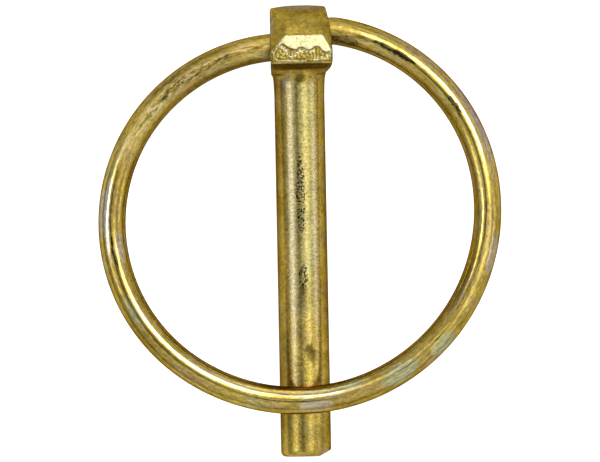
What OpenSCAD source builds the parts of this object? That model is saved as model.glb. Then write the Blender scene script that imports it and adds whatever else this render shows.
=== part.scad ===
// Lynch pin: a one-piece headed pin, and a spring-wire ring that swings in the cross-hole
// of its head and closes over the tip of the shank.
// The origin is on the shank's axis, level with the shoulder under the head.
// +Y runs up the shank to the crest of the head, +X to the right, and +Z out of the side
// that carries the nose, where the ring lies when it is closed.

/* [Shank] */
// Diameter of the shank
shank_d = 6.35; // [6:0.05:6.5]
// Length of the tip that shows past the closed ring
tip_past_ring = 5.5; // [3:0.1:10]
// Rounding of the tip's rim
tip_round = 0.6; // [0.2:0.05:1]
// How far the sheared flat at the tip's right runs in across the end
shear_in = 1.55; // [0.5:0.05:2.5]
// How far the sheared flat runs up the side
shear_up = 0.8; // [0.3:0.05:1.5]
// Diameter of the upset neck, where it meets the head
neck_d = 6.52; // [6.51:0.01:6.75]
// Length over which the neck tapers down to the shank
neck_l = 2.5; // [1.5:0.1:6]

/* [Head] */
// Height of the crest above the shoulder
head_h = 8.8; // [8.3:0.1:10.5]
// From the shank's axis to the upright left face
head_left = 3.55; // [3.3:0.05:4]
// From the shank's axis to the right face, where it bulges most
head_right = 4.32; // [3.9:0.02:5]
// From the shank's axis to the flat back of the head
head_back = 3.4; // [3.4:0.05:3.8]
// Radius of the bulging right face, seen from the front
cheek_r = 24; // [20:1:60]
// Height of the right face's widest part above the shoulder
cheek_up = 2.3; // [2:0.1:3]
// Rounding of the cheek's lower corner
cheek_round = 1.8; // [0.8:0.1:2]
// Rounding of the lower corner on the left
heel_round = 0.2; // [0.1:0.05:0.25]
// Radius of the crest, seen from the front
crest_r = 23; // [14:1:40]
// How far the middle of the crest lies to the right of the shank's axis
crest_x = 0.45; // [0:0.05:1.5]
// How far the collar on the shoulder stands out past the neck, towards the nose
collar_lip = 0.15; // [0.05:0.05:0.5]
// Rounding where the back of the head turns over into the crown
back_round = 1.9; // [1:0.1:2.2]
// Rounding of the two upright edges at the back
back_edge = 1.2; // [0.5:0.1:1.5]

/* [Nose] */
// From the shank's axis to the front of the nose, at its foot
nose_reach = 6.3; // [5.9:0.1:8]
// Height of the nose's underside above the shoulder, which the collar makes up
nose_foot = 0.7; // [0.3:0.05:1.2]
// Height of the nose's upper edge above the shoulder
nose_top = 4.85; // [4.3:0.05:5.3]
// Angle by which the nose's face leans back
nose_lean = 9; // [2:0.5:15]
// Height of the bevel between the nose's underside and its face
nose_bevel = 0.8; // [0.3:0.05:1.2]
// Angle by which that bevel turns away from the face
bevel_lean = 62; // [50:1:68]
// Rounding of the nose's two upright edges
nose_edge = 0.45; // [0.1:0.05:0.6]
// From the shank's axis to the left end of the nose's upper edge
nose_left = 1.8; // [1:0.05:2.5]
// From the shank's axis to the right end of the nose's upper edge
nose_right = 3.1; // [2:0.05:3.5]
// Slope of the corner cut on the left, seen from the front
left_slope = 54; // [45:1:65]
// Slope of the corner cut on the right, seen from the front
right_slope = 61; // [50:1:70]
// Angle by which the corner cuts turn away from the nose's face
corner_rake = 48; // [40:1:55]
// Depth of the broken patch on the lower part of the nose's face
break_depth = 0.15; // [0.05:0.05:0.3]
// Mean height of the patch's ragged upper edge above the shoulder
break_top = 3.15; // [2.5:0.05:3.7]
// How far that edge strays up and down from its mean height
break_stray = 0.45; // [0.1:0.05:0.5]

/* [Cross hole] */
// Diameter of the cross-hole
hole_d = 4.8; // [4.7:0.05:5]
// Height of the hole's axis above the shoulder, at the middle of the head
hole_up = 4.45; // [4.2:0.05:4.6]
// From the shank's axis to the hole's axis, towards the nose
hole_out = 0.8; // [0.5:0.05:1.1]
// Angle at which the hole rises to the right
hole_tilt = 5.6; // [3:0.1:7]

/* [Ring] */
// Inside diameter of the ring's free round
ring_bore_d = 44.65; // [40:0.05:50]
// Diameter of the ring's wire
wire_d = 3.5; // [3.3:0.05:3.6]
// How far the middle of the free round lies to the left of the head's middle
ring_side = 3.1; // [2.5:0.05:3.8]
// How far the hole's axis lies inside the mid-line of the full round
ring_sink = 2.6; // [2.2:0.05:2.9]
// Angle of the short bend where the ring leaves the head on the right
end_bend = 16; // [13:0.5:19]
// Mid-line radius of that bend
end_bend_r = 4; // [3:0.1:6]
// How far inside the widest part of the right cheek that bend begins
bend_in = 0.4; // [0:0.05:0.6]
// Straight wire past the left face, before the ring begins to curve
left_straight = 0.35; // [0.3:0.05:1]
// Gap between the ring's two ends inside the hole
end_gap = 1.6; // [0.6:0.1:3]
// Least clearance between an end and the wall of the hole
end_clear = 0.045; // [0.03:0.005:0.08]
// Gap between the closed ring and the shank that it lies over
ring_gap = 0.56; // [0.55:0.01:1]

/* [Hidden] */
$fn = 96;
zinc = [0.70, 0.59, 0.25];
// How far a cut runs on past what it cuts
past = 1;
// What a thin stretch of wire is slimmer by, and laps over its neighbours by
wire_hair = 0.01;
wire_lap = 0.02;
shank_r = shank_d / 2;
neck_r = neck_d / 2;
wire_r = wire_d / 2;

// The hinge is on the hole's axis, half way between the head's two faces
hinge = [(head_right - head_left) / 2, hole_up, hole_out];

// The two ends lie against opposite sides of the hole, this far from its axis
end_off = (hole_d - wire_d) / 2 - end_clear;

// Places below are in the ring's own plane. x runs to the right along the hole's axis,
// y runs from the ring's far side to the hinge, and bearings go clockwise from +y.
function out(bearing) = [sin(bearing), cos(bearing)];
function bearing_of(v) = (atan2(v[0], v[1]) + 360) % 360;

// Mid-line of the free round
round_r = ring_bore_d / 2 + wire_r;
round_c = [-ring_side, ring_sink - round_r];

// Radius of an arc that leaves point p square to direction n and runs on into the round
function shoulder_r(p, n) =
    let (d = p - round_c)
    (round_r * round_r - d * d) / (2 * (round_r - d * n));

// Right end: a straight stub, the short bend, then the right shoulder
right_stub = [head_right - hinge[0] - bend_in, end_off];
bend_c = right_stub - end_bend_r * out(0);
bend_end = bend_c + end_bend_r * out(end_bend);
right_r = shoulder_r(bend_end, out(end_bend));
right_c = bend_end - right_r * out(end_bend);
right_bearing = bearing_of(right_c - round_c);

// Left end: a straight stub, then the left shoulder
left_stub = [-head_left - hinge[0] - left_straight, -end_off];
left_r = shoulder_r(left_stub, out(0));
left_c = left_stub - left_r * out(0);
left_bearing = bearing_of(left_c - round_c);

// The closed ring slopes up from the hinge to clear the shank at its far side
ring_reach = 2 * round_r - ring_sink;
ring_slope = asin((shank_r + ring_gap + wire_r - hole_out) / ring_reach);
ring_low = hole_up
    - ring_reach * cos(ring_slope) * cos(hole_tilt)
    - ring_side * sin(hole_tilt)
    - wire_r;
shank_end = ring_low - tip_past_ring;

// The crown is one arc, from the crest at the back to the nose's upper edge
crest_z = back_round - head_back;
nose_face = nose_foot + nose_bevel;
nose_top_z = nose_reach - (nose_top - nose_face) * tan(nose_lean);
crown_drop = head_h - nose_top;
crown_run = nose_top_z - crest_z;
crown_r = (crown_drop * crown_drop + crown_run * crown_run) / (2 * crown_drop);

// Ragged upper edge of the broken patch: how far along the head's width from the left, and
// what share of the stray above or below the mean height
head_w = head_left + head_right;
ragged = [
    [0.08, 0.2],
    [0.15, 0.65],
    [0.21, 0.65],
    [0.26, -0.2],
    [0.32, -0.65],
    [0.36, 0.35],
    [0.40, -0.35],
    [0.49, 0.1],
    [0.55, 0.25],
    [0.59, -0.2],
    [0.65, 0.35],
    [0.74, 1],
    [0.79, 0.45],
    [0.84, -0.65],
    [0.92, -1],
];
function torn_edge(p) = [p[0] * head_w - head_left, break_top + p[1] * break_stray];

// What a square corner has left outside a quarter round of radius r about the origin
module spandrel(r) {
    difference() {
        square(r + past);
        circle(r);
    }
}

// Half section of the shank and its neck, with y along the axis
module shank_section() {
    difference() {
        translate([0, shank_end])
            square([shank_r, -shank_end - neck_l]);
        translate([shank_r - tip_round, shank_end + tip_round])
            rotate(-90)
                spandrel(tip_round);
    }
    polygon([
        [0, -neck_l],
        [shank_r, -neck_l],
        [neck_r, 0],
        [neck_r, past],
        [0, past],
    ]);
}

// Round shank with its upset neck, and the flat that the shear left at the tip's right
module shank() {
    difference() {
        rotate([-90, 0, 0])
            rotate_extrude()
                shank_section();
        translate([shank_r, shank_end + shear_up, 0])
            rotate(atan2(shear_up, shear_in))
                translate([-2 * shank_d, -shank_d, -shank_d])
                    cube([3 * shank_d, shank_d, 2 * shank_d]);
    }
}

// Head from the front: upright left face, crowned top, bulging right cheek
module front_outline() {
    difference() {
        intersection() {
            translate([-head_left, 0])
                square([head_w, head_h]);
            translate([crest_x, head_h - crest_r])
                circle(crest_r);
            translate([head_right - cheek_r, cheek_up])
                circle(cheek_r);
        }
        translate([head_right - cheek_round, cheek_round])
            rotate(-90)
                spandrel(cheek_round);
        translate([heel_round - head_left, heel_round])
            rotate(180)
                spandrel(heel_round);
    }
}

// Head from its right, with x up the shank and y towards the nose: flat back turned over
// into the crown, nose face leaning back above its bevelled foot, and the collar below
module side_outline() {
    difference() {
        translate([0, -head_back])
            square([head_h, head_back + nose_reach]);
        translate([head_h - back_round, crest_z])
            rotate(-90)
                spandrel(back_round);
        translate([head_h - crown_r, crest_z])
            spandrel(crown_r);
        translate([nose_face, nose_reach])
            rotate(-nose_lean)
                square([2 * head_h, nose_reach]);
        translate([nose_face, nose_reach])
            rotate(90 - nose_lean + bevel_lean)
                square(2 * nose_reach);
        translate([-past, neck_r + collar_lip])
            square([nose_foot + past, nose_reach]);
    }
}

// Head from above, with y towards the nose: four rounded upright edges
module plan_outline() {
    difference() {
        translate([-head_left, -head_back])
            square([head_w, head_back + nose_reach]);
        translate([head_right - back_edge, back_edge - head_back])
            rotate(-90)
                spandrel(back_edge);
        translate([back_edge - head_left, back_edge - head_back])
            rotate(180)
                spandrel(back_edge);
        translate([head_right - nose_edge, nose_reach - nose_edge])
            spandrel(nose_edge);
        translate([nose_edge - head_left, nose_reach - nose_edge])
            rotate(90)
                spandrel(nose_edge);
    }
}

// Cut that takes off one upper corner of the nose, from the end x of its upper edge
module corner_cut(x, turn) {
    size = 2 * head_h;
    translate([x, nose_top, nose_top_z])
        rotate([-nose_lean, 0, 0])
            rotate([0, corner_rake, turn])
                translate([-size / 4, -size / 2, 0])
                    cube(size);
}

// Patch on the nose's lower half where the metal broke away, with its ragged upper edge
module break_cut() {
    left = -head_left - past;
    right = head_right + past;
    edge = [for (p = ragged) torn_edge(p)];
    last = edge[len(edge) - 1];
    translate([0, nose_face, nose_reach])
        rotate([-nose_lean, 0, 0])
            translate([0, -nose_face, -break_depth])
                linear_extrude(nose_reach)
                    polygon(concat(
                        [[right, -past], [left, -past], [left, edge[0][1]]],
                        edge,
                        [[right, last[1]]]
                    ));
}

module cross_hole() {
    translate(hinge)
        rotate([0, 90, hole_tilt])
            cylinder(d = hole_d, h = 3 * head_h, center = true);
}

// Headed pin, forged in one piece and drilled across the head for the ring
module pin() {
    color(zinc)
        difference() {
            union() {
                shank();
                difference() {
                    intersection() {
                        translate([0, 0, -head_back])
                            linear_extrude(head_back + nose_reach)
                                front_outline();
                        translate([-head_left, 0, 0])
                            rotate([90, 0, 90])
                                linear_extrude(head_w)
                                    side_outline();
                        translate([0, head_h, 0])
                            rotate([90, 0, 0])
                                linear_extrude(head_h)
                                    plan_outline();
                    }
                    corner_cut(-nose_left, 90 + left_slope);
                    corner_cut(nose_right, 90 - right_slope);
                    break_cut();
                }
            }
            cross_hole();
        }
}

// Curved stretch of wire about centre c, between two bearings. A thin one is a hair
// slimmer and longer than its neighbours, so that its ends seat inside theirs.
module wire_arc(c, r, from, to, thin = false) {
    lap = thin ? wire_lap / r * 180 / PI : 0;
    translate([c[0], c[1], 0])
        rotate(90 - to - lap)
            rotate_extrude(angle = to - from + 2 * lap)
                translate([r, 0])
                    circle(thin ? wire_r - wire_hair : wire_r);
}

// Straight stretch of wire along the hole's axis, at height y
module wire_stub(x_from, x_to, y, thin = false) {
    lap = thin ? wire_lap : 0;
    translate([x_from - lap, y, 0])
        rotate([0, 90, 0])
            cylinder(r = thin ? wire_r - wire_hair : wire_r, h = x_to - x_from + lap);
}

// Spring-wire ring, open at the hinge, with its ends set off from each other in the hole
module ring() {
    color(zinc)
        translate(hinge)
            rotate(hole_tilt)
                rotate([-ring_slope, 0, 0]) {
                    wire_stub(end_gap / 2, right_stub[0], end_off);
                    wire_arc(bend_c, end_bend_r, 0, end_bend, thin = true);
                    wire_arc(right_c, right_r, end_bend, right_bearing);
                    wire_arc(round_c, round_r, right_bearing, left_bearing, thin = true);
                    wire_arc(left_c, left_r, left_bearing, 360);
                    wire_stub(left_stub[0], -end_gap / 2, -end_off, thin = true);
                }
}

pin();
ring();
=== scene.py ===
import math

import bpy
import bmesh
import numpy as np
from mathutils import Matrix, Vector, noise


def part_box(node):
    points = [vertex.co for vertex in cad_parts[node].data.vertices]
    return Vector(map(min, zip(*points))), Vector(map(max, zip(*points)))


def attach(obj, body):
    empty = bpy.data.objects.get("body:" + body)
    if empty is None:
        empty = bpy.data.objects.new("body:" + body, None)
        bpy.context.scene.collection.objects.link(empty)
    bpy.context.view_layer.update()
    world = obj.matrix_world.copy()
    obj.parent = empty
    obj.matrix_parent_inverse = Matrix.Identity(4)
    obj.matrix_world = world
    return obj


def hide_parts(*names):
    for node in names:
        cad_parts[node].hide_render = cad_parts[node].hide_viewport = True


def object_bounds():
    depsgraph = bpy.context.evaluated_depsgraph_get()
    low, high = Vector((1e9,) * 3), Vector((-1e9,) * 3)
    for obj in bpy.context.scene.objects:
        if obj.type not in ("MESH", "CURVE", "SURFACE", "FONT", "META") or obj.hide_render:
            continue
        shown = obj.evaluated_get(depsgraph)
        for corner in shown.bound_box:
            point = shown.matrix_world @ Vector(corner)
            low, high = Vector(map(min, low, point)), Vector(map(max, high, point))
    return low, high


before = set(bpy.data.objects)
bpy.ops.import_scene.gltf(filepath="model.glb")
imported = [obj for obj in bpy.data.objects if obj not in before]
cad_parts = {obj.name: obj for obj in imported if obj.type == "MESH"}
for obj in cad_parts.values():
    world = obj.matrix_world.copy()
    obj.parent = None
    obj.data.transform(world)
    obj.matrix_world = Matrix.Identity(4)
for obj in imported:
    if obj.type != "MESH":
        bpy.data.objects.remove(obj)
cad_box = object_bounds()
MM = 0.001

# ---------------------------------------------------------------- camera

# The pin lies on its back with the nose up, and the camera looks straight down on it
# through a long lens, turned a little so that the shank leans as it does in the photo.
view_width = 75.72 * MM
view_middle = Vector((-0.246 * MM, -19.743 * MM, 0.0))
view_turn = math.radians(-1.114)
lens_mm, sensor_mm = 1000.0, 36.0
nearest_seen, farthest_seen = 0.05, 20.0

camera_data = bpy.data.cameras.new("camera")
camera_data.lens = lens_mm
camera_data.sensor_width = sensor_mm
camera_data.clip_start = nearest_seen
camera_data.clip_end = farthest_seen
camera = bpy.data.objects.new("camera", camera_data)
camera.location = view_middle + Vector((0.0, 0.0, view_width * lens_mm / sensor_mm))
camera.rotation_euler = (0.0, 0.0, view_turn)
bpy.context.scene.collection.objects.link(camera)
bpy.context.scene.camera = camera
bpy.context.scene.view_settings.view_transform = "Standard"

# ---------------------------------------------------------------- floor

# A plain white floor under the pin. It glows softly upwards like a light table, so it is
# white from above and pale grey at a slant, and it keeps the pin's shadow.
floor_half = 0.8
floor_z = cad_box[0][2]
floor_grey = 0.68
glow_strength = 0.95
glow_full, glow_gone = 0.01, 0.12


def add_node(tree, kind, settings=None, **inputs):
    """A node of that kind, with each input given its value or joined to a socket. An input
    goes by its name, with _ for a space, or by its number, as in0 or in1."""
    made = tree.nodes.new(kind)
    for name, value in (settings or {}).items():
        setattr(made, name, value)
    for name, value in inputs.items():
        socket = made.inputs[int(name[2:]) if name.startswith("in") else name.replace("_", " ")]
        if isinstance(value, bpy.types.NodeSocket):
            tree.links.new(value, socket)
        else:
            socket.default_value = value
    return made


def sums(tree, operation, first, second=0.0, clamp=False):
    """One sum on two values."""
    return add_node(tree, "ShaderNodeMath", {"operation": operation, "use_clamp": clamp},
                    in0=first, in1=second).outputs[0]


floor_mesh = bpy.data.meshes.new("floor")
floor_mesh.from_pydata(
    [(x * floor_half, y * floor_half, floor_z) for x, y in ((-1, -1), (1, -1), (1, 1), (-1, 1))],
    [],
    [(0, 1, 2, 3)],
)
floor = bpy.data.objects.new("floor", floor_mesh)
bpy.context.scene.collection.objects.link(floor)

floor_paint = bpy.data.materials.new("floor_paint")
floor_paint.use_nodes = True
tree = floor_paint.node_tree
tree.nodes.clear()
seen = add_node(tree, "ShaderNodeLightPath")
seen_white = sums(tree, "ADD", seen.outputs["Is Camera Ray"], seen.outputs["Is Glossy Ray"])
seen_white = sums(tree, "ADD", seen_white, seen.outputs["Is Transmission Ray"], clamp=True)
slant = add_node(tree, "ShaderNodeLayerWeight", Blend=0.5)
upward = add_node(tree, "ShaderNodeMapRange", Value=slant.outputs["Facing"],
                  From_Min=glow_gone, From_Max=glow_full, To_Min=0.0, To_Max=glow_strength)
glow = add_node(tree, "ShaderNodeEmission", Strength=sums(tree, "MULTIPLY", seen_white, upward.outputs[0]))
matt = add_node(tree, "ShaderNodeBsdfDiffuse", Color=(floor_grey, floor_grey, floor_grey, 1.0))
both = add_node(tree, "ShaderNodeAddShader", in0=matt.outputs[0], in1=glow.outputs[0])
add_node(tree, "ShaderNodeOutputMaterial", Surface=both.outputs[0])
floor_mesh.materials.append(floor_paint)

# ---------------------------------------------------------------- light

# A pale tent of cloth round the pin. A big soft box with a bright core stands behind it up
# to the right, a narrow one up to the left and a strip beyond the head, and fainter ones
# fill the sides and the foot. A lamp beside the big box throws the pin's soft shadow.
tent_low, tent_high = -0.10, 0.70
cloth_low, cloth_high = 0.38, 0.76
brighter_right = 0.16
key_across, key_up, key_away = math.radians(16.0), math.radians(24.0), 1.2
key_width, key_height, key_watts = 0.42, 0.34, 0.66


def ranged(tree, value, low, high, to_low=0.0, to_high=1.0):
    """A value eased from one range to another."""
    return add_node(tree, "ShaderNodeMapRange", {"interpolation_type": "SMOOTHSTEP"}, Value=value,
                    From_Min=low, From_Max=high, To_Min=to_low, To_Max=to_high).outputs[0]


panel = bpy.data.node_groups.new("soft_panel", "ShaderNodeTree")
for name in ("Across", "Up", "Middle Across", "Middle Up", "Half Width", "Half Height", "Core", "Level"):
    panel.interface.new_socket(name, in_out="INPUT", socket_type="NodeSocketFloat")
panel.interface.new_socket("Level", in_out="OUTPUT", socket_type="NodeSocketFloat")
given = add_node(panel, "NodeGroupInput").outputs
across = sums(panel, "SUBTRACT", given["Across"], given["Middle Across"])
across = sums(panel, "DIVIDE", across, given["Half Width"])
up = sums(panel, "SUBTRACT", given["Up"], given["Middle Up"])
up = sums(panel, "DIVIDE", up, given["Half Height"])
reach = sums(panel, "ADD", sums(panel, "MULTIPLY", across, across), sums(panel, "MULTIPLY", up, up))
fade = ranged(panel, sums(panel, "SQRT", reach), 1.0, given["Core"], 0.0, given["Level"])
add_node(panel, "NodeGroupOutput", Level=fade)

tent = bpy.data.worlds.new("tent")
bpy.context.scene.world = tent
tent.use_nodes = True
tree = tent.node_tree
tree.nodes.clear()
toward = add_node(tree, "ShaderNodeTexCoord").outputs["Generated"]
split = add_node(tree, "ShaderNodeSeparateXYZ", Vector=toward)
degree = math.degrees(1.0)
across = sums(tree, "MULTIPLY", sums(tree, "ARCTAN2", split.outputs["X"], split.outputs["Z"]), degree)
up = sums(tree, "MULTIPLY", sums(tree, "ARCTAN2", split.outputs["Y"], split.outputs["Z"]), degree)


def lit_panel(middle_across, middle_up, half_width, half_height, core, level):
    """The light of one panel: its middle and half size, in degrees from the camera's axis,
    the share of it that is evenly lit, and how bright that is."""
    return add_node(tree, "ShaderNodeGroup", {"node_tree": panel}, Across=across, Up=up,
                    Middle_Across=middle_across, Middle_Up=middle_up, Half_Width=half_width,
                    Half_Height=half_height, Core=core, Level=level).outputs["Level"]


cloth = ranged(tree, split.outputs["Z"], tent_low, tent_high, cloth_low, cloth_high)
cloth = sums(tree, "ADD", cloth, sums(tree, "MULTIPLY", split.outputs["X"], brighter_right))
for spot in (
    (20.0, 27.0, 21.0, 26.0, 0.50, 0.9),   # the big soft box, its left side and its core
    (5.0, 28.0, 17.0, 19.0, 0.55, 1.9),
    (15.0, 25.0, 15.0, 12.0, 0.30, 7.5),
    (-39.0, 21.0, 9.0, 16.0, 0.40, 3.6),   # the narrow box on the left
    (0.0, 74.0, 60.0, 24.0, 0.30, 1.10),   # the strip beyond the head
    (-48.0, 1.0, 17.0, 21.0, 0.40, 0.95),  # faint ones: left, foot, right and far right
    (0.0, -48.0, 45.0, 26.0, 0.20, 0.22),
    (25.0, 0.0, 19.0, 16.0, 0.20, 0.90),
    (61.0, 4.0, 12.0, 26.0, 0.25, 0.65),
):
    cloth = sums(tree, "ADD", cloth, lit_panel(*spot))

# The dark rim of the opening round the lens, an arc below and to the left of the axis
for spot in (
    (-14.0, 10.0, 9.0, 9.0, 0.45, 0.80),
    (-14.0, -1.0, 12.0, 9.0, 0.40, 0.76),
    (-3.0, -11.0, 10.0, 6.0, 0.45, 0.92),
):
    cloth = sums(tree, "MULTIPLY", cloth, sums(tree, "SUBTRACT", 1.0, lit_panel(*spot)))
walls = add_node(tree, "ShaderNodeBackground", Strength=cloth)
add_node(tree, "ShaderNodeOutputWorld", Surface=walls.outputs[0])

lamp_data = bpy.data.lights.new("key_box", "AREA")
lamp_data.shape = "RECTANGLE"
lamp_data.size, lamp_data.size_y = key_width, key_height
lamp_data.energy = key_watts
lamp = bpy.data.objects.new("key_box", lamp_data)
key_toward = Vector((math.tan(key_across), math.tan(key_up), 1.0)).normalized()
lamp.location = view_middle + key_toward * key_away
lamp.rotation_mode = "QUATERNION"
lamp.rotation_quaternion = key_toward.to_track_quat("Z", "Y")
lamp.visible_camera = False
bpy.context.scene.collection.objects.link(lamp)

# ---------------------------------------------------------------- pin

# The pin is one steel forging: a plain round shank cropped off at the tip, and an upset
# head with a nose, whose face broke away roughly when it was trimmed. It is drilled
# across the head, then zinc plated and passivated yellow. Its sizes are in millimetres.
scale_grain = 0.144 * MM
shank_r = 3.175
neck_r, neck_l = 3.275, 2.5
head_back = 3.4
nose_face, nose_top, nose_reach = 1.5, 4.85, 6.3
nose_lean = math.tan(math.radians(9.0))

# The nose's face: how far it reaches to each side, the ends of its upper edge, and the
# slopes of its cut corners
face_left, face_right = 3.45, 4.2
top_left, top_right = 1.8, 3.1
left_slope, right_slope = math.radians(54.0), math.radians(61.0)

# What counts as the face when it is worked on: its heights, and how deep below the plane
face_low, face_high = 0.9, 5.4
finer_depth, worked_depth = 0.5, 0.45

pin_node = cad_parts["pin"]
pin = bpy.data.objects.new("forged_pin", pin_node.data.copy())
bpy.context.scene.collection.objects.link(pin)
skin = pin.modifiers.new("skin", "REMESH")
skin.mode = "VOXEL"
skin.voxel_size = scale_grain
bpy.context.view_layer.update()
pin_mesh = bpy.data.meshes.new_from_object(pin.evaluated_get(bpy.context.evaluated_depsgraph_get()))
pin_mesh.name = "forged_pin"
pin.modifiers.clear()
pin.data = pin_mesh


def face_out(y):
    """How far out from the shank's axis the nose's leaning face is at a height."""
    return nose_reach - (y - nose_face) * nose_lean


def ramp(value, start, end):
    """0 up to the start, 1 from the end on, and an even rise between them."""
    return np.clip((value - start) / (end - start), 0.0, 1.0)


def ridge(value, half):
    """1 on a line, falling away to both sides of it."""
    return np.exp(-((value / half) ** 2))


def settle(points, edges, share, rounds):
    """Moves each point up to half way to the middle of its neighbours, by its own share."""
    count = np.bincount(edges.ravel(), minlength=len(points))[:, None]
    for _ in range(rounds):
        total = np.zeros_like(points)
        for axis in range(3):
            total[:, axis] = (np.bincount(edges[:, 0], points[edges[:, 1], axis], len(points))
                              + np.bincount(edges[:, 1], points[edges[:, 0], axis], len(points)))
        points += 0.5 * share[:, None] * (total / count - points)


# The face of the nose gets a finer mesh for its torn metal
bm = bmesh.new()
bm.from_mesh(pin_mesh)
face_edges = set()
for f in bm.faces:
    middle = f.calc_center_median() / MM
    if face_low < middle.y < face_high and middle.z > face_out(middle.y) - finer_depth:
        face_edges.update(f.edges)
bmesh.ops.subdivide_edges(bm, edges=list(face_edges), cuts=1, use_grid_fill=True)
bm.to_mesh(pin_mesh)
bm.free()

points = np.empty(len(pin_mesh.vertices) * 3)
pin_mesh.vertices.foreach_get("co", points)
points = points.reshape(-1, 3) / MM
edges = np.empty(len(pin_mesh.edges) * 2, int)
pin_mesh.edges.foreach_get("vertices", edges)
edges = edges.reshape(-1, 2)

# x, y and z look into the points, so a change to either is a change to both
x, y, z = points.T

# Forging leaves every edge of the head soft, and cropping those of the tip
head_low, tip_high = -0.6, -40.0
head_rounds, tip_rounds = 5, 3
settle(points, edges, ramp(y, head_low, 0.0), head_rounds)
settle(points, edges, y < tip_high, tip_rounds)

# The front of the collar runs into the neck with no step
collar_front, collar_low, collar_high = (0.8, 1.6), (-1.9, -1.3), (0.72, 0.62)
collar_rounds = 40
collar = ramp(z, *collar_front) * ramp(y, *collar_low) * ramp(y, *collar_high)
settle(points, edges, collar, collar_rounds)

# The shank and the neck stay true to their diameters
wall_low, wall_high, wall_near = -47.4, -0.05, 0.12
radius = np.hypot(x, z)
true_r = shank_r + (neck_r - shank_r) * ramp(y, -neck_l, 0.0)
wall = (y > wall_low) & (y < wall_high) & (np.abs(radius - true_r) < wall_near)
trued = 1.0 + (true_r[wall] / radius[wall] - 1.0) * (1.0 - collar[wall])
x[wall] *= trued
z[wall] *= trued

# The corner under the head is softened, and the neck flares a little into it
foot_low, foot_high, foot_out, foot_rounds = -0.6, 0.55, 3.7, 10
settle(points, edges, (y > foot_low) & (y < foot_high) & (np.hypot(x, z) < foot_out), foot_rounds)
flare_low, flare_high, flare_r, flare_near, flare_share = -1.15, 0.35, 3.3, 0.2, 0.03
flare = ramp(y, flare_low, 0.0) ** 2 * ramp(y, flare_high, 0.0)
flare[np.abs(np.hypot(x, z) - flare_r) > flare_near] = 0.0
x *= 1.0 + flare_share * flare
z *= 1.0 + flare_share * flare
np.maximum(z, -head_back, out=z)

# The torn patch: a dark groove under its ragged upper edge, a bright lip below that, a burr
# round its left end, and upright scores where the trimming tool dragged on the right. Each
# line runs over the face by places to the right of the shank's axis and above the shoulder.
torn_edge = np.array([(-3.4, 3.2), (-2.42, 3.7), (-1.98, 3.95), (-1.6, 3.64), (-1.09, 3.32), (-0.66, 3.19),
                      (-0.23, 3.14), (0.02, 3.35), (0.46, 3.47), (0.97, 3.21), (1.49, 3.11), (2.01, 3.48),
                      (2.35, 3.56), (2.69, 3.34), (3.02, 2.99), (3.45, 2.73), (4.1, 2.97), (4.5, 2.9)])
lip_line = np.array([(-2.3, 3.55), (-1.87, 3.34), (-1.53, 2.74), (-1.03, 2.30), (-0.67, 2.37), (-0.54, 2.67),
                     (-0.16, 2.8), (0.20, 3.05), (0.63, 3.1), (0.95, 3.02), (1.33, 2.82), (1.8, 2.75)])
burr_line = np.array([(-2.42, 3.70), (-2.99, 3.02), (-3.21, 2.68), (-3.18, 2.25), (-2.76, 1.69),
                      (-1.0, 1.6), (0.9, 1.62)])
glint_line = np.array([(1.9, 1.72), (2.7, 1.95), (3.3, 1.85), (3.95, 2.2), (4.1, 2.9)])


def off_line(places, line):
    """How far each place lies from a line of straight runs."""
    nearest = np.full(len(places), 1e9)
    for start, end in zip(line[:-1], line[1:]):
        run = end - start
        along = np.clip(((places - start) @ run) / (run @ run), 0.0, 1.0)
        nearest = np.minimum(nearest, np.linalg.norm(places - start - along[:, None] * run, axis=1))
    return nearest


def inside_face(x, y):
    """How far each place lies inside the outline of the nose's face."""
    return np.min([nose_top - y, y - nose_face, face_right - x, x + face_left,
                   (top_right - x) * math.sin(right_slope) + (nose_top - y) * math.cos(right_slope),
                   (x + top_left) * math.sin(left_slope) + (nose_top - y) * math.cos(left_slope)], axis=0)


# The face is planed true inside its outline, and its upper rim is softened
rim_half, rim_low, rim_rounds = 0.4, 2.6, 14
plane = face_out(y)
near_face = (y > face_low) & (y < face_high) & (z > plane - worked_depth)
inset = inside_face(x, y)
planed = near_face & (inset > 0.0)
z[planed] += (ramp(inset, 0.05, 0.20) * (plane - z))[planed]
settle(points, edges, near_face & (np.abs(inset) < rim_half) & (y > rim_low), rim_rounds)

# Where each place on the face lies: on it at all, within the patch, or in the pocket that
# lies between the patch's upper edge and its lip
flat = points[near_face][:, :2]
face_x, face_y = flat.T
on_face = ramp(inset[near_face], -0.12, 0.0)
lip, burr, glint = (off_line(flat, line) for line in (lip_line, burr_line, glint_line))
below_edge = np.interp(face_x, *torn_edge.T) - face_y
above_lip = face_y - np.interp(face_x, *lip_line.T)
inside = ramp(below_edge, 0.0, 0.16) * on_face
pocket = inside * ramp(above_lip, 0.0, 0.12) * ramp(face_x, 0.9, 0.3) * ramp(face_x, -2.1, -1.9)

# How rough the metal is: broad rolls, lumps, grit and upright scores, calmer by the lip
waves = [(noise.turbulence(Vector((x * 1.1, y * 1.1, 3.0)), 3, True),
          noise.noise(Vector((x * 3.1, y * 3.1, 8.0))),
          noise.noise(Vector((x * 6.0, y * 6.0, 2.0))),
          noise.noise(Vector((x * 4.5, y * 0.35, 1.0)))) for x, y in flat]
rolling, lumps, grit, scored = np.array(waves).T
score = scored * np.maximum(ramp(face_x, 1.7, 2.2), 0.12)
foot = ramp(face_y, 1.5, 1.8)
calm = 1.0 - 0.7 * ridge(lip, 0.25)

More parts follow.
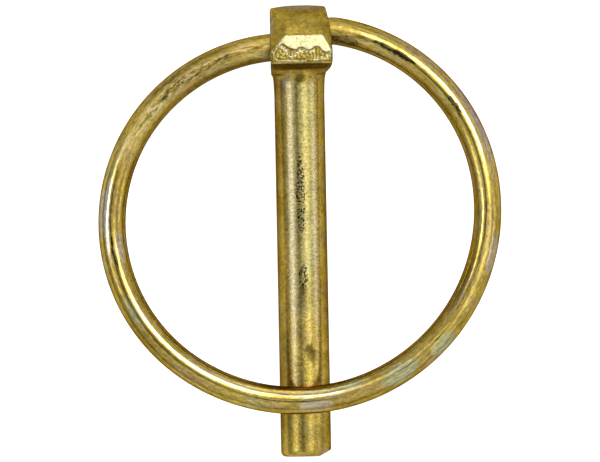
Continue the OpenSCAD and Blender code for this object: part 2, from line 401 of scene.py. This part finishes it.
patch_depth, pocket_depth, roll_depth = 0.10, 0.10, 0.05
lump_height, grit_height, score_height = 0.040, 0.016, 0.075
lip_rise, burr_rise, burr_groove = 0.020, 0.05, 0.05
face_lumps, face_grit = 0.010, 0.006
lip_half, burr_half, glint_half, groove_off = 0.22, 0.08, 0.10, 0.2
z[near_face] += (
    inside * foot * (-patch_depth - roll_depth * rolling
                     + (lump_height * lumps + grit_height * grit) * calm + score_height * score)
    - pocket_depth * pocket
    + inside * lip_rise * (1.0 + 2.0 * lumps) * ridge(lip, lip_half)
    - inside * burr_groove * ridge(burr - groove_off, 0.10)
    + burr_rise * on_face * ridge(burr, burr_half)
    + burr_rise * (1.0 + 1.2 * grit) * ridge(glint, glint_half)
    + (1.0 - inside) * on_face * (face_lumps * lumps + face_grit * grit)
)

# How strongly each finish shows on the face, for the plating to read
upper_rim = ridge(face_y - 5.05, 0.10) * ramp(np.abs(face_x - 0.6), 2.6, 2.3)
under_edge = inside * np.clip(0.45 + 1.2 * lumps, 0.1, 0.9) * ridge(below_edge - 0.10, 0.09)
bright_lines = np.max([ridge(burr, 0.10), ridge(glint, 0.16), inside * ridge(lip, lip_half)], axis=0)
finishes = {
    "torn": inside * ramp(face_y, 1.45, 1.60),
    "rubbed": (1.0 - inside) * on_face * np.clip(0.78 + 0.5 * lumps + 0.9 * grit, 0.0, 1.0),
    "burred": bright_lines * np.clip(0.62 + 1.3 * lumps + 0.9 * grit, 0.1, 1.0),
    "grooved": np.max([pocket * ramp(lip, 0.0, 0.15), under_edge, 0.7 * upper_rim], axis=0),
}

# Forge scale leaves the rest of the head faintly uneven
head_middle = np.array([0.3, 4.0, 1.2])
broad_lift, fine_lift, sunk = 0.022, 0.010, 0.02
outward = points - head_middle
for i in np.nonzero((y > 0.1) & ~near_face)[0]:
    p = Vector(points[i])
    lift = broad_lift * noise.noise(p * 0.9) + fine_lift * noise.noise(p * 2.6) - sunk
    points[i] += outward[i] / np.linalg.norm(outward[i]) * lift

low, high = (np.array(corner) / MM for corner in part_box("pin"))
points = np.clip(points, low, high)
pin_mesh.vertices.foreach_set("co", (points * MM).ravel())
for name, amount in finishes.items():
    shown = np.zeros(len(points), np.float32)
    shown[near_face] = amount
    pin_mesh.attributes.new(name, "FLOAT", "POINT").data.foreach_set("value", shown)
pin_mesh.update()
pin_mesh.shade_smooth()
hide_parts("pin")
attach(pin, "pin")


def mixed(tree, factor, first, second, mode="MIX"):
    """Two colours mixed by a factor."""
    made = tree.nodes.new("ShaderNodeMix")
    made.data_type = "RGBA"
    made.blend_type = mode
    for socket, value in zip((made.inputs[0], made.inputs[6], made.inputs[7]), (factor, first, second)):
        if isinstance(value, bpy.types.NodeSocket):
            tree.links.new(value, socket)
        else:
            socket.default_value = value if isinstance(value, float) else (*value, 1.0)
    return made.outputs[2]


def shifted(tree, place, offset, stretch=(1.0, 1.0, 1.0)):
    """A place in millimetres, moved and stretched."""
    return add_node(tree, "ShaderNodeMapping", Vector=place, Location=offset, Scale=stretch).outputs[0]


def cloud(tree, place, scale, detail=3.0, rough=0.55):
    """A cloudy value, with so many clouds to the millimetre."""
    return add_node(tree, "ShaderNodeTexNoise", Vector=place, Scale=scale, Detail=detail,
                    Roughness=rough).outputs[0]


def greyed(tree, value):
    """A value as a grey, to darken or brighten a colour by."""
    return add_node(tree, "ShaderNodeCombineColor", Red=value, Green=value, Blue=value).outputs[0]


# Yellow passivation is a thin film over the zinc: straw to olive in clouds, with faint
# pink and green where it is thicker, and a fine dark pepper of pits
film = bpy.data.node_groups.new("passivated_film", "ShaderNodeTree")
film.interface.new_socket("Place", in_out="INPUT", socket_type="NodeSocketVector")
for name in ("Straw", "Olive", "Pink", "Green"):
    film.interface.new_socket(name, in_out="INPUT", socket_type="NodeSocketColor")
for name in ("Bloom", "Pepper", "Sparkle"):
    film.interface.new_socket(name, in_out="INPUT", socket_type="NodeSocketFloat")
film.interface.new_socket("Color", in_out="OUTPUT", socket_type="NodeSocketColor")
film.interface.new_socket("Shade", in_out="OUTPUT", socket_type="NodeSocketColor")
for name in ("Grain", "Cloud", "Pits"):
    film.interface.new_socket(name, in_out="OUTPUT", socket_type="NodeSocketFloat")
given = add_node(film, "NodeGroupInput").outputs
broad = cloud(film, given["Place"], 0.30, 3.0)
mottle = cloud(film, shifted(film, given["Place"], (31.0, 7.0, 3.0)), 1.7, 6.0, 0.65)
grain = cloud(film, shifted(film, given["Place"], (5.0, 41.0, 9.0)), 5.5, 4.0, 0.7)
clouds = sums(film, "ADD", sums(film, "MULTIPLY", broad, 0.6), sums(film, "MULTIPLY", mottle, 0.4))
tone = mixed(film, ranged(film, clouds, 0.40, 0.60), given["Olive"], given["Straw"])
for tint, offset, scale in (("Pink", (90.0, 3.0, 12.0), 0.55), ("Green", (13.0, 77.0, 44.0), 0.45)):
    patches = ranged(film, cloud(film, shifted(film, given["Place"], offset), scale, 4.0), 0.52, 0.66)
    tone = mixed(film, sums(film, "MULTIPLY", patches, given["Bloom"]), tone, given[tint])
cells = add_node(film, "ShaderNodeTexVoronoi", Vector=given["Place"], Scale=5.2, Randomness=1.0)
cells = add_node(film, "ShaderNodeSeparateColor", Color=cells.outputs["Color"]).outputs
speckle = sums(film, "MULTIPLY", sums(film, "SUBTRACT", cells["Red"], 0.5), given["Sparkle"])
shade = greyed(film, sums(film, "ADD", ranged(film, grain, 0.30, 0.70, 0.82, 1.16), speckle))
flush = sums(film, "MULTIPLY", given["Sparkle"], 0.5)
flush = sums(film, "MULTIPLY", ranged(film, cells["Green"], 0.72, 0.80), flush)
tone = mixed(film, flush, tone, given["Pink"])
specks = cloud(film, shifted(film, given["Place"], (2.0, 19.0, 61.0)), 3.8, 2.5, 0.65)
pit_level = sums(film, "SUBTRACT", 0.80, sums(film, "MULTIPLY", given["Pepper"], 0.31))
pits = ranged(film, specks, pit_level, sums(film, "ADD", pit_level, 0.06))
add_node(film, "NodeGroupOutput", Color=tone, Shade=shade, Grain=grain, Cloud=mottle, Pits=pits)


def vectors(tree, operation, first, second):
    """One sum on two vectors."""
    return add_node(tree, "ShaderNodeVectorMath", {"operation": operation}, in0=first, in1=second).outputs[0]


# A stain or rub at one place on the metal, with a ragged edge
mark = bpy.data.node_groups.new("ragged_mark", "ShaderNodeTree")
for name in ("Place", "Middle", "Size"):
    mark.interface.new_socket(name, in_out="INPUT", socket_type="NodeSocketVector")
for name in ("Ragged", "Softness"):
    mark.interface.new_socket(name, in_out="INPUT", socket_type="NodeSocketFloat")
mark.interface.new_socket("Mask", in_out="OUTPUT", socket_type="NodeSocketFloat")
given = add_node(mark, "NodeGroupInput").outputs
stray = add_node(mark, "ShaderNodeTexNoise", Vector=given["Place"], Scale=1.1, Detail=5.0,
                 Roughness=0.65).outputs[1]
stray = vectors(mark, "SUBTRACT", stray, (0.5, 0.5, 0.5))
stray = add_node(mark, "ShaderNodeVectorMath", {"operation": "SCALE"}, in0=stray,
                 Scale=given["Ragged"]).outputs[0]
spot = vectors(mark, "SUBTRACT", vectors(mark, "ADD", given["Place"], stray), given["Middle"])
spot = vectors(mark, "DIVIDE", spot, given["Size"])
reach = add_node(mark, "ShaderNodeVectorMath", {"operation": "LENGTH"}, in0=spot).outputs["Value"]
mask = ranged(mark, reach, 1.0, sums(mark, "SUBTRACT", 1.0, given["Softness"]))
add_node(mark, "NodeGroupOutput", Mask=mask)


def marked(tree, place, middle, size, ragged, soft):
    """One mark: its middle and half size in millimetres, its raggedness and its softness."""
    return add_node(tree, "ShaderNodeGroup", {"node_tree": mark}, Place=place, Middle=middle,
                    Size=size, Ragged=ragged, Softness=soft).outputs["Mask"]


def any_of(tree, place, marks):
    """The greatest of several marks at each place."""
    mask = marked(tree, place, *marks[0])
    for one in marks[1:]:
        mask = sums(tree, "MAXIMUM", mask, marked(tree, place, *one))
    return mask


def stained(tree, place, marks, strength):
    """Several marks, all at one strength."""
    return sums(tree, "MULTIPLY", any_of(tree, place, marks), strength)


straw = (0.78, 0.565, 0.085)
olive = (0.48, 0.325, 0.030)
pink = (0.74, 0.50, 0.24)
green = (0.60, 0.62, 0.34)
lilac = (0.68, 0.59, 0.42)
highlight_tint = (0.63, 0.62, 0.31)
painted_pale = (0.93, 0.91, 0.88)
dark_olive = (0.075, 0.058, 0.008)
purple = (0.52, 0.38, 0.38)
brown = (0.17, 0.095, 0.008)
soot = (0.030, 0.026, 0.015)
rubbed_metal = (0.93, 0.85, 0.50)
burr_metal = (0.93, 0.86, 0.52)
torn_metal = (0.27, 0.21, 0.040)


def film_on(tree, place, **values):
    """The film as it lies on one piece."""
    return add_node(tree, "ShaderNodeGroup", {"node_tree": film}, Place=place, Straw=(*straw, 1.0),
                    Olive=(*olive, 1.0), Pink=(*pink, 1.0), Green=(*green, 1.0), **values)


def finish(tree, colour, rough, coat, grain_depth):
    """Joins colour, roughness and the plate's fine relief to the metal, under a thin gloss."""
    metal = tree.nodes["Principled BSDF"]
    tree.links.new(colour, metal.inputs["Base Color"])
    tree.links.new(rough, metal.inputs["Roughness"])
    metal.inputs["Metallic"].default_value = 1.0
    metal.inputs["Specular Tint"].default_value = (0.24, 0.14, 0.03, 1.0)
    metal.inputs["Coat Weight"].default_value = 0.12
    metal.inputs["Coat Roughness"].default_value = 0.12
    relief = add_node(tree, "ShaderNodeBump", Strength=1.0, Distance=grain_depth,
                      Height=coat.outputs["Grain"])
    relief = add_node(tree, "ShaderNodeBump", Strength=1.0, Distance=cloud_depth,
                      Height=coat.outputs["Cloud"], Normal=relief.outputs[0])
    tree.links.new(relief.outputs[0], metal.inputs["Normal"])


cloud_depth = 0.010 * MM
pin_grain_depth = 0.008 * MM
pin_plating = bpy.data.materials.new("pin_plating")
pin_plating.use_nodes = True
tree = pin_plating.node_tree
place = add_node(tree, "ShaderNodeTexCoord").outputs["Object"]
place = shifted(tree, place, (0.0, 0.0, 0.0), (1 / MM, 1 / MM, 1 / MM))
apart = add_node(tree, "ShaderNodeSeparateXYZ", Vector=place).outputs
head_part = ranged(tree, apart["Y"], -1.0, 0.6)

# Pitted streak down the front of the shank, densest in the middle of its length
pepper = stained(tree, place, (
    ((-0.1, -15.2, 3.1), (0.76, 7.0, 2.0), 0.4, 0.35),
    ((0.1, -25.4, 3.1), (0.85, 2.2, 2.0), 0.7, 0.4),
), 1.02)
sparse = stained(tree, place, (
    ((0.2, -14.0, 3.0), (1.1, 13.0, 2.0), 0.6, 0.5),
    ((2.1, -23.0, 2.6), (0.5, 3.5, 2.0), 0.5, 0.8),
    ((0.4, -33.2, 3.0), (0.9, 1.6, 2.0), 0.5, 0.6),
), 0.62)
pepper = sums(tree, "MAXIMUM", sums(tree, "MAXIMUM", pepper, sparse), 0.26)
bloom = sums(tree, "SUBTRACT", 0.30, sums(tree, "MULTIPLY", head_part, 0.22))
coat = film_on(tree, place, Pepper=pepper, Bloom=bloom, Sparkle=0.48)
colour = coat.outputs["Color"]

# Brown stains near the tip and dark ones beside them and lower down, with painted light among them: the
# bevel under the nose is browned as painted shade, the dark patch under the nose is its painted shadow,
# faint brown strips down the shank's sides are painted shade on its edges, and pale lines along the shank
# are painted highlights. Pale patches lie by the neck and on the head's corners.
# The bevel mark under the nose is painted shade; the mark near the tip is a brown stain.
brown_stain_and_shade_mask = stained(tree, place, (
    ((0.4, 1.08, 5.4), (7.0, 0.42, 2.2), 0.15, 0.35),
    ((0.9, -35.2, 3.0), (1.1, 1.6, 2.0), 1.5, 0.7),
), 0.80)
# The first mark is the nose's painted shadow under it; the other two are dark stains on the shank.
nose_shadow_and_stain_mask = stained(tree, place, (
    ((0.10, -0.50, 3.3), (0.95, 0.85, 1.5), 1.1, 0.65),
    ((0.65, -34.6, 3.0), (0.7, 0.9, 2.0), 1.6, 0.7),
    ((0.1, -27.0, 3.0), (0.6, 1.2, 2.0), 1.6, 0.7),
), 0.78)
# The two long strips down the shank's sides are painted shade on its edges; the rest are faint stains.
faint_stain_and_side_shade_mask = stained(tree, place, (
    ((0.1, -28.5, 3.0), (1.0, 2.4, 2.0), 1.2, 0.9),
    ((-2.5, -33.5, 2.0), (1.2, 3.6, 2.0), 1.4, 0.9),
    ((2.9, -20.0, 1.2), (0.7, 24.0, 2.0), 0.8, 0.9),
    ((-2.9, -12.0, 1.2), (0.6, 18.0, 2.0), 0.8, 0.9),
    ((3.2, 1.6, 2.0), (1.4, 1.3, 3.0), 0.8, 0.7),
    ((0.0, -45.0, 2.2), (4.2, 3.4, 3.0), 1.4, 0.9),
), 0.42)
# The two long lines down the front of the shank are painted highlights; the rest are pale patches by the
# neck and on the head.
highlight_and_pale_patch_mask = stained(tree, place, (
    ((-1.2, -20.0, 2.9), (0.55, 30.0, 2.0), 0.4, 0.7),
    ((1.75, -18.0, 2.6), (0.36, 24.0, 2.0), 0.4, 0.8),
    ((-1.7, -1.1, 2.9), (1.4, 1.3, 2.0), 0.9, 0.8),
    ((-3.4, 5.0, 2.0), (0.6, 3.2, 3.0), 0.9, 0.6),
    ((4.1, 3.4, 2.5), (0.7, 2.2, 3.0), 1.1, 0.6),
), 0.62)

# A pale band painted along the head's crest, as a painted reflection
crest_reflection_mask = stained(tree, place, (((0.4, 8.85, 2.0), (4.8, 0.95, 4.0), 0.9, 0.7),), 0.55)

# The front of the shank is painted paler, as a painted highlight, less towards the tip
front = ranged(tree, apart["Z"], 2.1, 2.9)
top_highlight = sums(tree, "MULTIPLY", front, ranged(tree, apart["Y"], -36.0, -22.0, 0.10, 0.45))
top_highlight = sums(tree, "MULTIPLY", top_highlight, ranged(tree, apart["Y"], 0.0, -2.0))
colour = mixed(tree, top_highlight, colour, highlight_tint)
colour = mixed(tree, highlight_and_pale_patch_mask, colour, lilac)
colour = mixed(tree, crest_reflection_mask, colour, painted_pale)
colour = mixed(tree, faint_stain_and_side_shade_mask, colour, brown)
colour = mixed(tree, brown_stain_and_shade_mask, colour, brown)
colour = mixed(tree, nose_shadow_and_stain_mask, colour, dark_olive)
for name, tint, strength in (("torn", torn_metal, 0.80), ("rubbed", rubbed_metal, 0.90),
                             ("grooved", brown, 0.66), ("burred", burr_metal, 0.90)):
    amount = add_node(tree, "ShaderNodeAttribute", {"attribute_name": name}).outputs["Fac"]
    colour = mixed(tree, sums(tree, "MULTIPLY", amount, strength), colour, tint)
colour = mixed(tree, 1.0, colour, coat.outputs["Shade"], "MULTIPLY")

# The hammer and die leave fine level lines across the head
struck = cloud(tree, shifted(tree, place, (4.0, 9.0, 2.0), (1.1, 6.5, 3.0)), 1.0, 3.0, 0.6)
struck_shade = greyed(tree, ranged(tree, struck, 0.35, 0.65, 0.70, 0.90))
colour = mixed(tree, head_part, colour, mixed(tree, 1.0, colour, struck_shade, "MULTIPLY"))
colour = mixed(tree, coat.outputs["Pits"], colour, soot)
rough = ranged(tree, coat.outputs["Cloud"], 0.35, 0.65, 0.17, 0.23)
rough = sums(tree, "ADD", rough, sums(tree, "MULTIPLY", head_part, 0.20))
finish(tree, colour, rough, coat, pin_grain_depth)
pin_mesh.materials.clear()
pin_mesh.materials.append(pin_plating)

# ---------------------------------------------------------------- ring

# The ring is drawn spring wire, bent to an open round whose two ends are set off from
# each other in the head's hole, so that they twist the wire and snap the ring shut.
# The visible wire is a hair slimmer than the solid one, and stays within its box.
head_left, head_right = 3.55, 4.32
hinge = np.array([(head_right - head_left) / 2, 4.45, 0.8])
hole_tilt = math.radians(5.6)
solid_wire_r, wire_r = 1.75, 1.738
ring_gap = 0.56
end_off = 0.605
bore_r = 22.325
ring_side, ring_sink = 3.1, 2.6
end_bend, end_bend_r, bend_in = math.radians(16.0), 4.0, 0.4
left_straight = 0.35
end_gap = 1.6
station, around = 0.35, 56
right_station, left_stations = 2.1, (-3.1, -1.8)


def bearing_out(bearing):
    """The direction of a bearing, clockwise from the hinge, in the ring's own plane."""
    return np.array([math.sin(bearing), math.cos(bearing)])


def shoulder(start, bearing):
    """Centre and radius of the arc from that start, square to that bearing, into the free round."""
    off, outward = start - round_middle, bearing_out(bearing)
    radius = (round_r ** 2 - off @ off) / (2 * (round_r - off @ outward))
    return start - radius * outward, radius


def bearing_of(way):
    """The bearing of a direction, from nought to a full turn."""
    return math.atan2(way[0], way[1]) % (2 * math.pi)


# The free round, the short bend on the right, and the shoulder on each side
round_r = bore_r + solid_wire_r
round_middle = np.array([-ring_side, ring_sink - round_r])
right_stub = np.array([head_right - hinge[0] - bend_in, end_off])
bend_middle = right_stub - end_bend_r * bearing_out(0.0)
right_middle, right_r = shoulder(bend_middle + end_bend_r * bearing_out(end_bend), end_bend)
left_stub = np.array([-head_left - hinge[0] - left_straight, -end_off])
left_middle, left_r = shoulder(left_stub, 0.0)
to_round, to_left = bearing_of(right_middle - round_middle), bearing_of(left_middle - round_middle)
ring_slope = math.asin((shank_r + ring_gap + wire_r - hinge[2]) / (2 * round_r - ring_sink))

run = [(end_gap / 2, end_off, 0.0), (right_station, end_off, 0.0)]
for middle, radius, start, end in (
    (bend_middle, end_bend_r, 0.0, end_bend),
    (right_middle, right_r, end_bend, to_round),
    (round_middle, round_r, to_round, to_left),
    (left_middle, left_r, to_left, 2 * math.pi),
):
    count = max(2, math.ceil((end - start) * radius / station))
    for i in range(0 if start == 0.0 else 1, count + 1):
        bearing = start + (end - start) * i / count
        run.append((*(middle + radius * bearing_out(bearing)), bearing))
run += [(x, -end_off, 2 * math.pi) for x in (*left_stations, -end_gap / 2)]

points, faces, marks = [], [], []
travelled = 0.0
for i, (x, y, bearing) in enumerate(run):
    if i:
        travelled += math.hypot(x - run[i - 1][0], y - run[i - 1][1])
    for j in range(around):
        turn = 2 * math.pi * j / around
        out, rise = wire_r * math.cos(turn), wire_r * math.sin(turn)
        points.append((x + out * math.sin(bearing), y + out * math.cos(bearing), rise))
        marks.append((travelled, out, rise))
last = (len(run) - 1) * around
for i in range(0, last, around):
    for j in range(around):
        k = (j + 1) % around
        faces.append((i + j, i + around + j, i + around + k, i + k))
faces.append(tuple(range(around)))
faces.append(tuple(reversed(range(last, last + around))))

points = np.array(points)
slope = np.array([[1, 0, 0],
                  [0, math.cos(ring_slope), math.sin(ring_slope)],
                  [0, -math.sin(ring_slope), math.cos(ring_slope)]])
tilt = np.array([[math.cos(hole_tilt), -math.sin(hole_tilt), 0],
                 [math.sin(hole_tilt), math.cos(hole_tilt), 0],
                 [0, 0, 1]])
points = points @ slope.T @ tilt.T + hinge
ring_mesh = bpy.data.meshes.new("wire_ring")
ring_mesh.from_pydata((points * MM).tolist(), [], faces)
wire_mark = ring_mesh.attributes.new("along_wire", "FLOAT_VECTOR", "POINT")
wire_mark.data.foreach_set("vector", np.array(marks, np.float32).ravel())
ring_mesh.update()
ring_mesh.shade_smooth()
ring = bpy.data.objects.new("wire_ring", ring_mesh)
bpy.context.scene.collection.objects.link(ring)
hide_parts("ring")
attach(ring, "ring")

ring_plating = bpy.data.materials.new("ring_plating")
ring_plating.use_nodes = True
tree = ring_plating.node_tree
wire = add_node(tree, "ShaderNodeAttribute", {"attribute_name": "along_wire"}).outputs["Vector"]
drawn = shifted(tree, wire, (0.0, 0.0, 0.0), (0.35, 1.0, 1.0))

# Stains and rubs, and painted light, each placed along the wire from its right end, out from its mid-line
# and up towards the nose's side. The pale lines are painted highlights and some brown is painted shade.
purple_mask = stained(tree, wire, (
    ((24.0, 1.35, 0.9), (5.2, 0.34, 1.3), 0.3, 0.4),
    ((15.0, 1.25, 1.0), (7.0, 0.26, 1.5), 0.4, 0.7),
    ((30.0, -1.35, 0.9), (5.0, 0.22, 1.3), 0.3, 0.6),
), 0.70)
# Pale lines painted along the wire where its highlight runs: painted highlights
highlight_line_mask = stained(tree, wire, (
    ((110.5, 0.72, 1.5), (6.5, 0.38, 1.5), 0.3, 0.5),
    ((22.0, 0.44, 1.6), (11.0, 0.18, 1.5), 0.3, 0.8),
    ((86.0, -0.42, 1.6), (18.0, 0.14, 1.5), 0.2, 0.8),
    ((70.0, -0.36, 1.6), (8.0, 0.14, 1.5), 0.3, 0.8),
), 0.75)
# The mark at 111 along the wire is a painted highlight on the left; the rest are lilac stains
lilac_and_highlight_mask = stained(tree, wire, (
    ((26.0, 1.2, 1.0), (7.0, 0.45, 1.5), 0.5, 0.5),
    ((41.5, 1.2, 1.0), (3.0, 0.65, 1.5), 0.4, 0.25),
    ((71.5, 0.9, 1.2), (2.6, 0.75, 1.5), 0.5, 0.25),
    ((111.0, 1.3, 1.0), (3.2, 0.5, 1.5), 0.3, 0.25),
    ((106.6, -0.8, 1.2), (2.4, 0.8, 1.5), 0.5, 0.25),
), 0.62)
green_mask = stained(tree, wire, (
    ((54.0, 1.0, 1.2), (2.4, 0.9, 1.5), 0.8, 0.35),
    ((60.2, 0.5, 1.4), (3.2, 1.2, 1.5), 0.8, 0.35),
    ((66.5, -0.9, 1.4), (1.6, 0.7, 1.5), 0.8, 0.4),
    ((98.0, 0.5, 1.4), (3.0, 0.6, 1.5), 0.8, 0.6),
), 0.75)
# The mark at 15 along the wire is painted shade beside the highlight; the rest are brown stains
brown_stain_and_shade_mask = stained(tree, wire, (
    ((4.2, -1.1, 1.2), (4.2, 0.75, 1.5), 0.9, 0.6),
    ((4.5, 0.1, 1.7), (5.0, 0.45, 1.5), 1.0, 0.6),
    ((15.0, 0.25, 1.7), (13.0, 0.28, 1.5), 0.3, 0.6),
    ((46.0, -0.8, 1.5), (6.0, 0.5, 1.5), 0.5, 0.6),
    ((143.0, -0.9, 1.2), (2.2, 0.9, 1.5), 0.9, 0.7),
    ((131.0, 1.0, 1.2), (9.0, 0.4, 1.5), 0.8, 0.7),
    ((114.0, -0.3, 1.5), (12.0, 0.75, 1.5), 0.9, 0.6),
    ((128.0, -0.1, 1.7), (12.0, 0.45, 1.5), 1.2, 0.6),
    ((73.0, -1.5, 0.6), (12.0, 0.4, 1.5), 0.5, 0.6),
    ((141.0, 0.2, 1.7), (2.6, 0.3, 1.5), 0.9, 0.6),
), 0.60)
soot_mask = stained(tree, wire, (
    ((11.8, -0.15, 1.7), (3.7, 0.40, 1.0), 0.9, 0.30),
    ((22.2, 0.0, 1.7), (1.5, 0.28, 1.0), 0.9, 0.35),
    ((107.3, 0.15, 1.7), (0.8, 0.22, 1.0), 0.6, 0.4),
    ((104.9, 0.0, 1.7), (1.6, 0.22, 1.0), 0.6, 0.4),
    ((59.3, 0.25, 1.7), (1.8, 0.08, 1.0), 0.3, 0.5),
    ((54.1, 0.1, 1.7), (0.8, 0.10, 1.0), 0.3, 0.5),
    ((136.4, 0.05, 1.7), (1.9, 0.20, 1.0), 0.9, 0.6),
    ((129.4, 0.2, 1.7), (1.7, 0.16, 1.0), 0.9, 0.6),
    ((127.6, -0.1, 1.7), (1.2, 0.20, 1.0), 0.9, 0.6),
), 0.88)
pitted_mask = stained(tree, wire, (
    ((11.8, -0.15, 1.7), (4.3, 0.75, 1.6), 0.9, 0.4),
    ((22.2, -0.1, 1.7), (2.4, 0.55, 1.6), 0.9, 0.4),
    ((106.2, 0.1, 1.7), (2.6, 0.45, 1.6), 0.8, 0.4),
    ((4.0, -1.0, 1.3), (4.5, 0.8, 1.6), 0.9, 0.5),
), 0.85)
dull_part = any_of(tree, wire, (
    ((132.0, 0.0, 0.0), (20.0, 4.0, 4.0), 1.0, 0.3),
    ((2.0, 0.0, 0.0), (7.5, 4.0, 4.0), 1.0, 0.6),
))
pepper = sums(tree, "ADD", sums(tree, "MULTIPLY", dull_part, 0.30), 0.20)
coat = film_on(tree, drawn, Pepper=sums(tree, "MAXIMUM", pepper, pitted_mask), Bloom=0.40, Sparkle=0.45)
apart = add_node(tree, "ShaderNodeSeparateXYZ", Vector=wire).outputs
# The wire's inner flank is darkened as painted shade
inner_flank_shade = ranged(tree, apart["Y"], -1.05, -1.6, 0.0, 0.40)
# The top of the wire is painted paler, as a painted highlight
top_highlight = ranged(tree, apart["Z"], 0.9, 1.65, 0.0, 0.14)
colour = mixed(tree, top_highlight, coat.outputs["Color"], highlight_tint)
colour = mixed(tree, lilac_and_highlight_mask, colour, lilac)
colour = mixed(tree, highlight_line_mask, colour, painted_pale)
colour = mixed(tree, purple_mask, colour, purple)
colour = mixed(tree, green_mask, colour, green)
colour = mixed(tree, sums(tree, "MAXIMUM", brown_stain_and_shade_mask, inner_flank_shade), colour, brown)

# A marbled dark streak runs down the middle of the dull stretch
streak_mask = stained(tree, wire, (
    ((131.0, -0.05, 1.7), (15.0, 0.85, 1.6), 0.8, 0.7),
    ((140.0, 0.1, 1.7), (4.0, 0.5, 1.6), 0.6, 0.6),
    ((143.4, -0.9, 1.3), (2.0, 1.1, 1.5), 0.9, 0.7),
    ((5.0, -1.1, 1.3), (2.8, 0.75, 1.5), 1.0, 0.5),
), 0.78)
marble = cloud(tree, shifted(tree, wire, (3.0, 8.0, 1.0), (0.9, 3.6, 3.6)), 1.0, 6.0, 0.8)
streak_mask = sums(tree, "MULTIPLY", streak_mask, ranged(tree, marble, 0.42, 0.58))
fleck_mask = marked(tree, wire, (128.0, 0.1, 1.0), (15.0, 1.6, 2.2), 0.8, 0.5)
fleck_mask = sums(tree, "MULTIPLY", fleck_mask, ranged(tree, marble, 0.50, 0.38, 0.0, 0.60))
colour = mixed(tree, fleck_mask, colour, lilac)
colour = mixed(tree, streak_mask, colour, dark_olive)

# Drawing the wire through its die leaves fine dark lines along it
die_lines = cloud(tree, shifted(tree, wire, (7.0, 3.0, 5.0), (0.10, 4.2, 4.2)), 1.0, 3.0, 0.6)
drawn_dark = sums(tree, "MULTIPLY", ranged(tree, die_lines, 0.54, 0.68), 0.22)
colour = mixed(tree, drawn_dark, colour, brown)
colour = mixed(tree, 1.0, colour, coat.outputs["Shade"], "MULTIPLY")
soot_clumps = ranged(tree, coat.outputs["Cloud"], 0.36, 0.50, 0.45, 1.0)
colour = mixed(tree, sums(tree, "MULTIPLY", soot_mask, soot_clumps), colour, soot)
colour = mixed(tree, coat.outputs["Pits"], colour, soot)
rough = ranged(tree, coat.outputs["Cloud"], 0.35, 0.65, 0.06, 0.12)
rough = sums(tree, "ADD", rough, sums(tree, "MULTIPLY", dull_part, 0.30))
ring_grain_depth = 0.004 * MM
finish(tree, colour, rough, coat, ring_grain_depth)
ring_mesh.materials.append(ring_plating)
